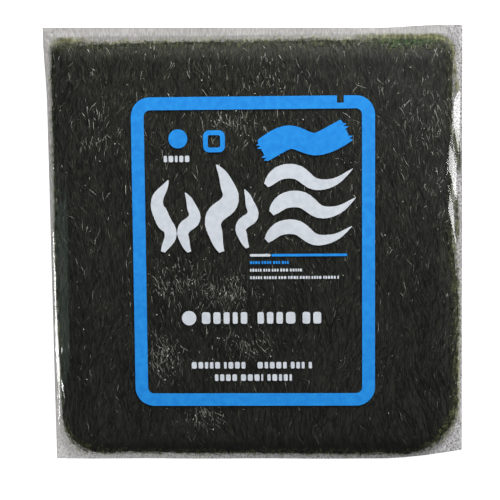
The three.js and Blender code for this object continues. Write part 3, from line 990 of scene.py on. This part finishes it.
def lay_on_film(plate):
    """Cuts flat ink into small cells, lays them on the film and gives them their thickness."""
    for axis, normal in ((0, (1, 0, 0)), (1, (0, 1, 0))):
        places = [vertex.co[axis] for vertex in plate.verts]
        for cut in np.arange(min(places) + INK_CELL, max(places), INK_CELL):
            everything = plate.verts[:] + plate.edges[:] + plate.faces[:]
            through = tuple(cut * part for part in normal)
            bmesh.ops.bisect_plane(plate, geom=everything, plane_co=through, plane_no=normal)
    for vertex in plate.verts:
        vertex.co.z = float(front_film(vertex.co.x, vertex.co.y)) + INK_LIFT
    grown = bmesh.ops.extrude_face_region(plate, geom=plate.faces[:])
    for item in grown["geom"]:
        if isinstance(item, bmesh.types.BMVert):
            item.co.z += INK_THICKNESS
    bmesh.ops.recalc_face_normals(plate, faces=plate.faces[:])


def print_ink(node, plate, material):
    """Lays one plate's ink on the film, in that plate's place."""
    lay_on_film(plate)
    plate.verts.index_update()
    points = [vertex.co[:] for vertex in plate.verts]
    faces = [[vertex.index for vertex in face.verts] for face in plate.faces]
    plate.free()
    piece = new_piece(node.replace("print", "ink"), points, faces, [material], shade_smooth=False)
    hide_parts(node)


blue_ink = gravure_ink("gravure_ink_blue", "#1a84da", "#2391e3")
for node in ("print_frame", "print_disc", "print_square", "print_band", "print_rule_blue"):
    print_ink(node, plate_outline(node), blue_ink)
print_ink("print_fine_1", block_row("print_fine_1", 1), blue_ink)

white_ink = gravure_ink("gravure_ink_white", "#c6ccd3", "#d2d7dd")
for node in ("print_frond_1", "print_frond_2", "print_frond_3", "print_frond_4"):
    print_ink(node, plate_outline(node), white_ink)
for node in ("print_wave_1", "print_wave_2", "print_wave_3", "print_rule_white", "print_bold_disc"):
    print_ink(node, plate_outline(node), white_ink)
small_rows = ("print_bar_top", "print_fine_2", "print_fine_3", "print_bold_1", "print_bold_2")
foot_rows = ("print_foot_1a", "print_foot_1b", "print_foot_2a", "print_foot_2b")
for seed, node in enumerate(small_rows + foot_rows, 2):
    print_ink(node, block_row(node, seed), white_ink)

# ---- Table, camera and light -----------------------------------------------------------------------
# The pack lies on a plain white table that glows a little, as a light table does, and is seen from
# above. One large soft light stands off its top right corner, a low one at each side draws the glints
# in the tucks of the film, and a faint green one higher on the left tints the long fold.

TABLE_HALF = 3000
TABLE_DROP = 0.3  # clear of the pouch's underside
CAMERA_PLACE = (19.7, 48.7, 597.3)
CAMERA_TILT = (-4.93, 2.05, -0.51)
CAMERA_LENS, CAMERA_SENSOR = 84.46, 36
CAMERA_NEAREST = 10


def opal_acrylic():
    """Opal acrylic over lamps, as on a light table: matt white, with an even glow of its own that
    takes most of the shadow away."""
    material, tree = new_material("opal_acrylic_lit")
    finish = {"Base Color": linear("#f2f2f2"), "Roughness": 0.9, "Specular IOR Level": 0.0}
    finish.update({"Emission Color": linear("#ffffff"), "Emission Strength": 0.85})
    shader = add_node(tree, "BsdfPrincipled", finish)
    add_node(tree, "OutputMaterial", {"Surface": shader.outputs[0]})
    return material


table_mesh = bpy.data.meshes.new("table")
corners = [(-1, -1), (1, -1), (1, 1), (-1, 1)]
table_points = [(a * TABLE_HALF * MM, b * TABLE_HALF * MM, -TABLE_DROP * MM) for a, b in corners]
table_mesh.from_pydata(table_points, [], [(0, 1, 2, 3)])
table = bpy.data.objects.new("table", table_mesh)
bpy.context.scene.collection.objects.link(table)
table_mesh.materials.append(opal_acrylic())

camera = bpy.data.objects.new("camera", bpy.data.cameras.new("camera"))
bpy.context.scene.collection.objects.link(camera)
camera.location = [v * MM for v in CAMERA_PLACE]
camera.rotation_euler = [math.radians(angle) for angle in CAMERA_TILT]
camera.data.lens = CAMERA_LENS
camera.data.sensor_width = CAMERA_SENSOR
camera.data.clip_start = CAMERA_NEAREST * MM
bpy.context.scene.camera = camera


def soft_light(name, place, size, power, colour="#ffffff"):
    """A rectangular soft light of so many watts, turned towards the pack."""
    lamp = bpy.data.lights.new(name, "AREA")
    lamp.shape, lamp.energy = "RECTANGLE", power
    lamp.size, lamp.size_y = size[0] * MM, size[1] * MM
    lamp.color = linear(colour)[:3]
    holder = bpy.data.objects.new(name, lamp)
    bpy.context.scene.collection.objects.link(holder)
    holder.location = Vector(place) * MM
    holder.rotation_euler = (-holder.location).to_track_quat("-Z", "Y").to_euler()
    return holder


# The front web doesn't mirror the large light, which would hide the pack in views towards it.
unmirrored = bpy.data.collections.new("not_lit_from_top_right")
unmirrored.objects.link(front_web)
unmirrored.collection_objects[0].light_linking.link_state = "EXCLUDE"
large_light = soft_light("light_top_right", place=(550, 1300, 500), size=(800, 500), power=56)
large_light.light_linking.receiver_collection = unmirrored
soft_light("light_right", place=(850, 30, 276), size=(300, 140), power=1.1)
soft_light("light_left", place=(-850, -130, 276), size=(380, 140), power=2.7)
soft_light("light_left_sky", (-750, -120, 550), size=(220, 300), power=0.08, colour="#bce4d0")

# The room's dim ceiling, with a soft patch of daylight on it towards the top right.
PATCH_WAY, PATCH_END = (0.33, 0.3, 0.895), 0.88  # its direction, and the cosine at which it ends
CEILING, DAYLIGHT = 0.07, 0.34

world = bpy.data.worlds.new("studio")
world.use_nodes = True
tree = world.node_tree
way = add_node(tree, "TexCoord").outputs["Generated"]
towards = add_node(tree, "VectorMath", {0: way, 1: PATCH_WAY}, operation="DOT_PRODUCT").outputs["Value"]
glow = {"Value": towards, "From Min": PATCH_END, "From Max": 1.0, "To Min": CEILING, "To Max": DAYLIGHT}
daylight = add_node(tree, "MapRange", glow, interpolation_type="SMOOTHSTEP").outputs[0]
background = tree.nodes["Background"]
background.inputs["Color"].default_value = linear("#f4f6ff")
tree.links.new(daylight, background.inputs["Strength"])
bpy.context.scene.world = world
bpy.context.scene.view_settings.view_transform = "Standard"
